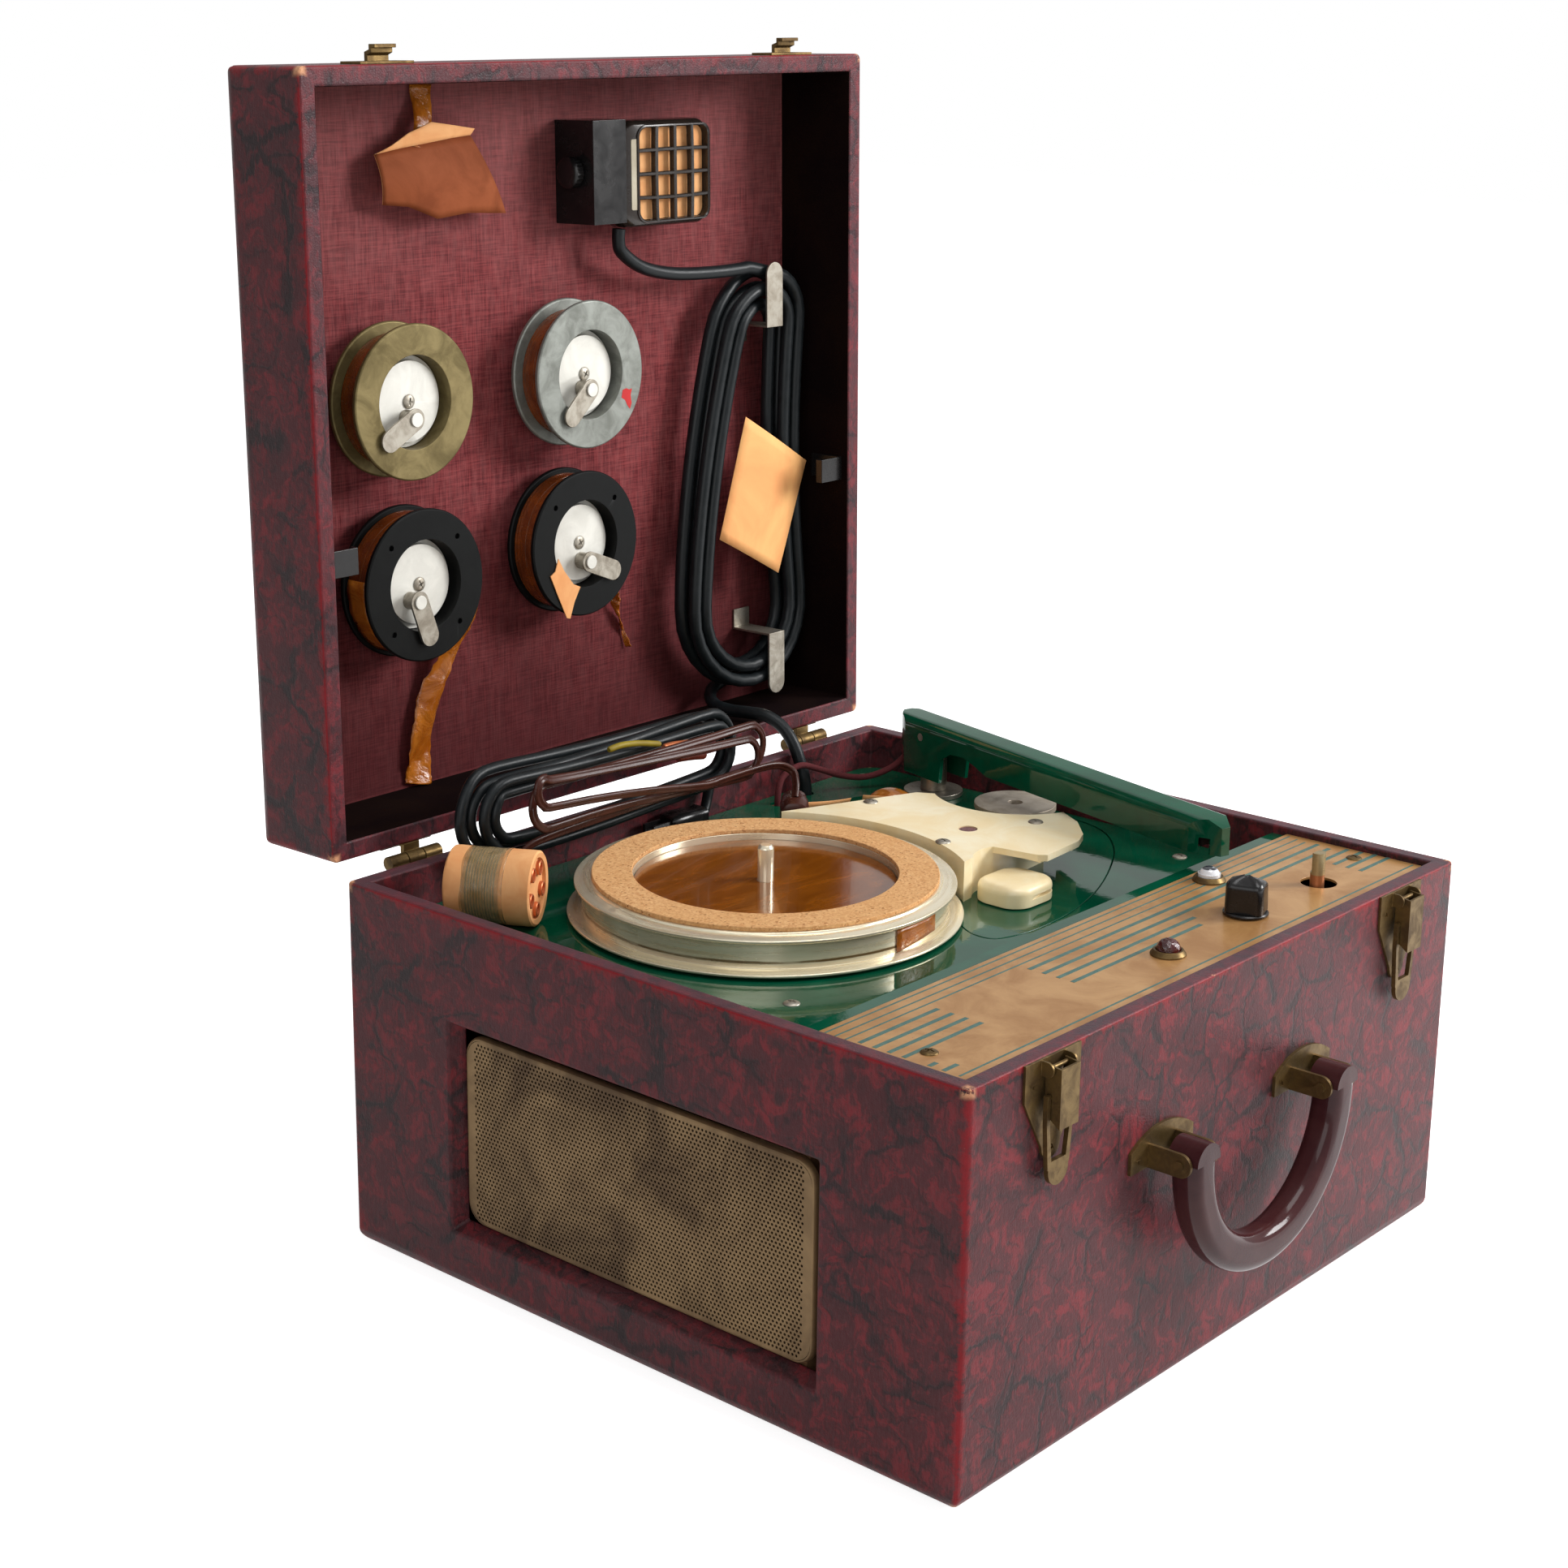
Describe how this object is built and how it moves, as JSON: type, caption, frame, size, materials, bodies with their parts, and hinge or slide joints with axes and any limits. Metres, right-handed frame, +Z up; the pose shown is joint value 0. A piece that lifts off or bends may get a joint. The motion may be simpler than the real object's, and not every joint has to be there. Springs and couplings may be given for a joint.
{
  "type": "portable record player and wire recorder",
  "caption": "Portable record player in a covered wooden case with its lid open: deck with a drum turntable and tone arm, control panel, microphone and wire spools held in the lid.",
  "frame": {"origin": "middle of the case underside, on the wood between the glides", "axes": "+X to the right seen from the handle side, +Y to the hinges, +Z up"},
  "size_m": [0.36, 0.4285, 0.5279],
  "materials": {
    "case": "maroon marbled leatherette over plywood",
    "brass": "tarnished brass",
    "steel": "worn plated steel",
    "nickel": "yellowed nickel plate",
    "enamel": "glossy green enamel",
    "ivory": "aged ivory plastic",
    "panel": "gold tan lacquer with blue green stripes",
    "cork": "fine cork sheet",
    "brown_gloss": "dark amber varnish, glossy",
    "black_plastic": "black moulding",
    "maroon_plastic": "dark maroon moulded handle",
    "jewel": "faceted red glass",
    "lamp": "white glass",
    "wood": "raw pine",
    "iron": "dark grey paint",
    "grey": "grey matt disc",
    "aluminium": "brushed aluminium",
    "old_brass": "blotched brass",
    "zinc": "grey zinc",
    "amber": "amber film",
    "mic": "brown black moulding",
    "cord": "black rubber sheath",
    "brown_cord": "brown rubber sheath",
    "cloth_cord": "maroon braid",
    "paper": "peach paper",
    "tape": "glazed peach tape",
    "crystal": "tan moulding"
  },
  "bodies": {
    "case": {"case_base": "case", "case_glides": "steel", "speaker_grille": "brass", "speaker": "iron", "deck_cleats": "wood", "deck_plate": "enamel", "head_plate": "enamel", "top_screws": "steel", "head_cover": "ivory", "turntable_motor": "iron", "tone_arm_post": "steel", "control_panel": "panel", "jewel_bezels": "brass", "pilot_jewel": "jewel", "eye_lamp": "lamp", "amplifier": "steel", "latch_plates": "brass", "handle_plates": "brass", "hinge_base_leaves": "brass", "mic_cord_tail": "cord", "black_lead": "cord", "brown_lead": "brown_cord", "tone_arm_lead": "cloth_cord", "wrapped_roll": "tape", "amber_piece": "amber"},
    "lid": {"lid_shell": "case", "lid_catches": "brass", "hinge_lid_leaves": "brass", "reel_holders": "aluminium", "reel_brass": "old_brass", "reel_zinc": "zinc", "reels_black": "black_plastic", "reel_windings": "amber", "mic_clamp": "black_plastic", "mic_body": "mic", "lid_clips": "steel", "mic_cord": "cord", "instruction_tag": "paper"},
    "turntable": {"turntable_drum": "nickel", "cork_mat": "cork", "turntable_disc": "brown_gloss"},
    "supply_disc": {"supply_hub": "grey"},
    "arm_swivel": {"arm_yoke": "steel"},
    "tone_arm_unit": {"tone_arm": "enamel", "cartridge": "crystal"},
    "mode_control": {"mode_knob": "ivory"},
    "button": {"record_button": "jewel"},
    "selector": {"selector_knob": "black_plastic"},
    "volume": {"volume_shaft": "steel"},
    "handle_body": {"handle": "maroon_plastic"},
    "lever_left": {"latch_lever_left": "brass"},
    "lever_right": {"latch_lever_right": "brass"},
    "link_left": {"latch_link_left": "brass"},
    "link_right": {"latch_link_right": "brass"},
    "keeper_brass": {"keeper_1": "steel"},
    "keeper_zinc": {"keeper_2": "steel"},
    "keeper_left": {"keeper_3": "steel"},
    "keeper_right": {"keeper_4": "steel"},
    "thumbscrew": {"mic_thumbscrew": "black_plastic"}
  },
  "joints": [
    {"name": "lid_hinge", "type": "hinge", "parent": "case", "child": "lid", "pos_m": [0, 0.1767, 0.1701], "axis": [-1, 0, 0], "range_deg": [-91, 0], "deforming": ["mic_cord_tail"]},
    {"name": "turntable_spin", "type": "hinge", "parent": "case", "child": "turntable", "pos_m": [-0.044, 0.046, 0.16], "axis": [0, 0, 1], "continuous": true},
    {"name": "supply_spin", "type": "hinge", "parent": "case", "child": "supply_disc", "pos_m": [0.134, 0.04, 0.16], "axis": [0, 0, 1], "continuous": true},
    {"name": "arm_swivel", "type": "hinge", "parent": "case", "child": "arm_swivel", "pos_m": [0.153, 0.105, 0.17], "axis": [0, 0, -1], "range_deg": [0, 48], "deforming": ["tone_arm_lead"]},
    {"name": "arm_lift", "type": "hinge", "parent": "arm_swivel", "child": "tone_arm_unit", "pos_m": [0.153, 0.105, 0.183], "axis": [-0.9719, 0.2355, 0], "range_deg": [0, 25]},
    {"name": "mode_turn", "type": "hinge", "parent": "case", "child": "mode_control", "pos_m": [0.047, -0.024, 0.157], "axis": [0, 0, 1], "range_deg": [-30, 30]},
    {"name": "button_press", "type": "slide", "parent": "case", "child": "button", "axis": [0, 0, -1], "range_m": [0, 0.003], "stiffness_N_per_m": 120},
    {"name": "selector_turn", "type": "hinge", "parent": "case", "child": "selector", "pos_m": [0.06, -0.1355, 0.172], "axis": [0, 0, 1], "range_deg": [-150, 150]},
    {"name": "volume_turn", "type": "hinge", "parent": "case", "child": "volume", "pos_m": [0.1157, -0.1375, 0.172], "axis": [0, 0, 1], "range_deg": [-150, 150]},
    {"name": "handle_swing", "type": "hinge", "parent": "case", "child": "handle_body", "pos_m": [0, -0.186, 0.108], "axis": [-1, 0, 0], "range_deg": [0, 175]},
    {"name": "latch_left", "type": "hinge", "parent": "case", "child": "lever_left", "pos_m": [-0.13, -0.1736, 0.167], "axis": [-1, 0, 0], "range_deg": [0, 100]},
    {"name": "loop_left", "type": "hinge", "parent": "lever_left", "child": "link_left", "pos_m": [-0.13, -0.174, 0.156], "axis": [-1, 0, 0], "range_deg": [0, 120]},
    {"name": "latch_right", "type": "hinge", "parent": "case", "child": "lever_right", "pos_m": [0.13, -0.1736, 0.167], "axis": [-1, 0, 0], "range_deg": [0, 100]},
    {"name": "loop_right", "type": "hinge", "parent": "lever_right", "child": "link_right", "pos_m": [0.13, -0.174, 0.156], "axis": [-1, 0, 0], "range_deg": [0, 120]},
    {"name": "keeper_brass_turn", "type": "hinge", "parent": "lid", "child": "keeper_brass", "pos_m": [-0.1071, 0.20195, 0.36209], "axis": [0, 0.9998, -0.0175], "continuous": true},
    {"name": "keeper_zinc_turn", "type": "hinge", "parent": "lid", "child": "keeper_zinc", "pos_m": [0.0032, 0.20199, 0.36419], "axis": [0, 0.9998, -0.0175], "continuous": true},
    {"name": "keeper_left_turn", "type": "hinge", "parent": "lid", "child": "keeper_left", "pos_m": [-0.1085, 0.20051, 0.2795], "axis": [0, 0.9998, -0.0175], "continuous": true},
    {"name": "keeper_right_turn", "type": "hinge", "parent": "lid", "child": "keeper_right", "pos_m": [0.0005, 0.20055, 0.2817], "axis": [0, 0.9998, -0.0175], "continuous": true},
    {"name": "thumbscrew_turn", "type": "hinge", "parent": "lid", "child": "thumbscrew", "pos_m": [0.005, 0.21574, 0.46416], "axis": [1, 0, 0], "range_deg": [-180, 180]}
  ]
}
